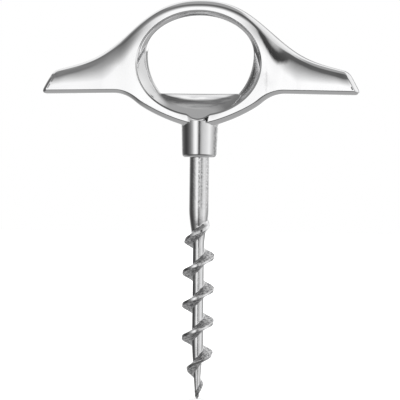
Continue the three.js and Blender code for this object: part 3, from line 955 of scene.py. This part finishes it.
# The tent of paper and card round the object. Each row is a height in degrees above the
# object's level, with degrees from the camera's axis towards the right of the picture and
# the display level of the card there.
HORIZON = [
    (-175, 255),
    (-150, 160),
    (-128, 93),
    (-98, 58),
    (-80, 75),
    (-62, 115),
    (-47, 170),
    (-35, 235),
    (-23, 255),
    (-13, 215),
    (-6, 90),
    (0, 75),
    (7, 165),
    (20, 200),
    (47, 222),
    (65, 240),
    (90, 195),
    (118, 145),
    (135, 170),
    (150, 224),
    (165, 255),
]
FRONT = [
    (-175, 215),
    (-155, 235),
    (-130, 110),
    (-90, 70),
    (-60, 170),
    (-40, 245),
    (0, 255),
    (14, 245),
    (20, 35),
    (34, 30),
    (44, 205),
    (80, 215),
    (95, 250),
    (140, 245),
    (155, 200),
    (166, 125),
    (178, 215),
]
HAZE = [
    (-175, 230),
    (-150, 245),
    (-130, 110),
    (-90, 80),
    (-60, 140),
    (-30, 178),
    (14, 175),
    (21, 70),
    (34, 70),
    (45, 205),
    (95, 245),
    (140, 240),
    (155, 200),
    (166, 130),
    (178, 230),
]
LOFT = [
    (-180, 235),
    (-135, 235),
    (-110, 105),
    (-55, 125),
    (-20, 105),
    (20, 88),
    (42, 95),
    (60, 215),
    (120, 240),
]
GAP = [(-170, 190), (-90, 75), (-40, 90), (0, 85), (50, 95), (80, 150), (120, 170)]
TENT = [
    (-60, [(0, 162)]),
    (-45, GAP),
    (-20, GAP),
    (-12, HORIZON),
    (0.8, HORIZON),
    (1.3, FRONT),
    (14, FRONT),
    (31, HAZE),
    (43, LOFT),
    (60, LOFT),
    (69, [(0, 160)]),
]


TENT_STRENGTH = 1.19
FLOOR_HALF = 4.0
LAMP_SIZE = 2.0
LAMP_ENERGY = 22.0
LAMP_HEIGHT = 1.2


def stage_light():
    world = bpy.data.worlds.new("studio")
    bpy.context.scene.world = world
    world.use_nodes = True
    n = Nodes(world.node_tree)
    direction = n.add("ShaderNodeTexCoord").outputs["Generated"]
    parts = n.add("ShaderNodeSeparateXYZ")
    n.link(direction, parts.inputs[0])
    toward_camera = n.math("MULTIPLY", parts.outputs[1], -1.0)
    azimuth = n.math("ARCTAN2", parts.outputs[0], toward_camera)
    around = n.span(azimuth, -math.pi, math.pi, smooth=False)
    height = n.math("ARCSINE", parts.outputs[2])
    yaw = math.degrees(CAMERA_YAW)

    def card_row(cards):
        if len(cards) == 1:
            return grey(cards[0][1])
        ramp = n.add("ShaderNodeValToRGB")
        n.link(around, ramp.inputs[0])
        stops = ramp.color_ramp.elements
        while len(stops) < len(cards):
            stops.new(0.5)
        for stop, (turn, level) in zip(stops, cards):
            stop.position = max(0.0, (turn + yaw + 180.0) / 360.0)
            stop.color = grey(level)
        return ramp.outputs[0]

    low, cards = TENT[0]
    colour = card_row(cards)
    for high, cards in TENT[1:]:
        share = n.span(height, math.radians(low), math.radians(high), smooth=False)
        colour = n.mix(share, colour, card_row(cards))
        low = high
    light_path = n.add("ShaderNodeLightPath")
    reflected = n.add("ShaderNodeBackground")
    n.link(colour, reflected.inputs["Color"])
    reflected.inputs["Strength"].default_value = TENT_STRENGTH
    backdrop = n.add("ShaderNodeBackground")
    backdrop.inputs["Color"].default_value = (1.0, 1.0, 1.0, 1.0)
    both = n.add("ShaderNodeMixShader")
    n.link(light_path.outputs["Is Camera Ray"], both.inputs[0])
    n.link(reflected.outputs[0], both.inputs[1])
    n.link(backdrop.outputs[0], both.inputs[2])
    output = n.add("ShaderNodeOutputWorld")
    n.link(both.outputs[0], output.inputs["Surface"])


def stage_floor():
    turns = [(-1.0, -1.0), (1.0, -1.0), (1.0, 1.0), (-1.0, 1.0)]
    corners = [(FLOOR_HALF * x, FLOOR_HALF * y, cad_low[2]) for x, y in turns]
    mesh = bpy.data.meshes.new("floor")
    mesh.from_pydata(corners, [], [(0, 1, 2, 3)])
    floor = bpy.data.objects.new("floor", mesh)
    bpy.context.scene.collection.objects.link(floor)
    material = bpy.data.materials.new("pale_paper")
    material.use_nodes = True
    n = Nodes(material.node_tree)
    surface = n.add("ShaderNodeBsdfPrincipled")
    surface.inputs["Roughness"].default_value = 0.9
    surface.inputs["Specular IOR Level"].default_value = 0.0
    place = n.add("ShaderNodeTexCoord").outputs["Object"]
    fibre = n.noise(place, 40.0)
    paper = n.mix(fibre, (0.93, 0.93, 0.93, 1.0), (0.95, 0.95, 0.95, 1.0))
    n.link(paper, surface.inputs["Base Color"])
    distance = n.add("ShaderNodeVectorMath", operation="LENGTH")
    n.link(place, distance.inputs[0])
    glow = n.span(distance.outputs["Value"], 0.3, 0.9)
    surface.inputs["Emission Color"].default_value = (1.0, 1.0, 1.0, 1.0)
    n.link(glow, surface.inputs["Emission Strength"])
    output = n.add("ShaderNodeOutputMaterial")
    n.link(surface.outputs[0], output.inputs["Surface"])
    mesh.materials.append(material)
    floor.visible_glossy = False


def stage_lamp():
    lamp = bpy.data.lights.new("overhead_softbox", "AREA")
    lamp.size = LAMP_SIZE
    lamp.energy = LAMP_ENERGY
    holder = bpy.data.objects.new("overhead_softbox", lamp)
    holder.location = (0.0, 0.0, LAMP_HEIGHT)
    holder.visible_glossy = False
    bpy.context.scene.collection.objects.link(holder)


def stage_camera():
    data = bpy.data.cameras.new("camera")
    data.sensor_width = SENSOR
    data.lens = SENSOR * CAMERA_DISTANCE / FRAME_WIDTH
    camera = bpy.data.objects.new("camera", data)
    bpy.context.scene.collection.objects.link(camera)
    side = Vector((math.sin(CAMERA_YAW), -math.cos(CAMERA_YAW), 0.0))
    camera.location = AIM + side * CAMERA_DISTANCE
    facing = (AIM - camera.location).to_track_quat("-Z", "Y")
    roll = Euler((0.0, 0.0, CAMERA_ROLL)).to_quaternion()
    camera.rotation_euler = (facing @ roll).to_euler()
    bpy.context.scene.camera = camera


stage_light()
stage_floor()
stage_lamp()
stage_camera()
bpy.context.scene.view_settings.view_transform = "Standard"
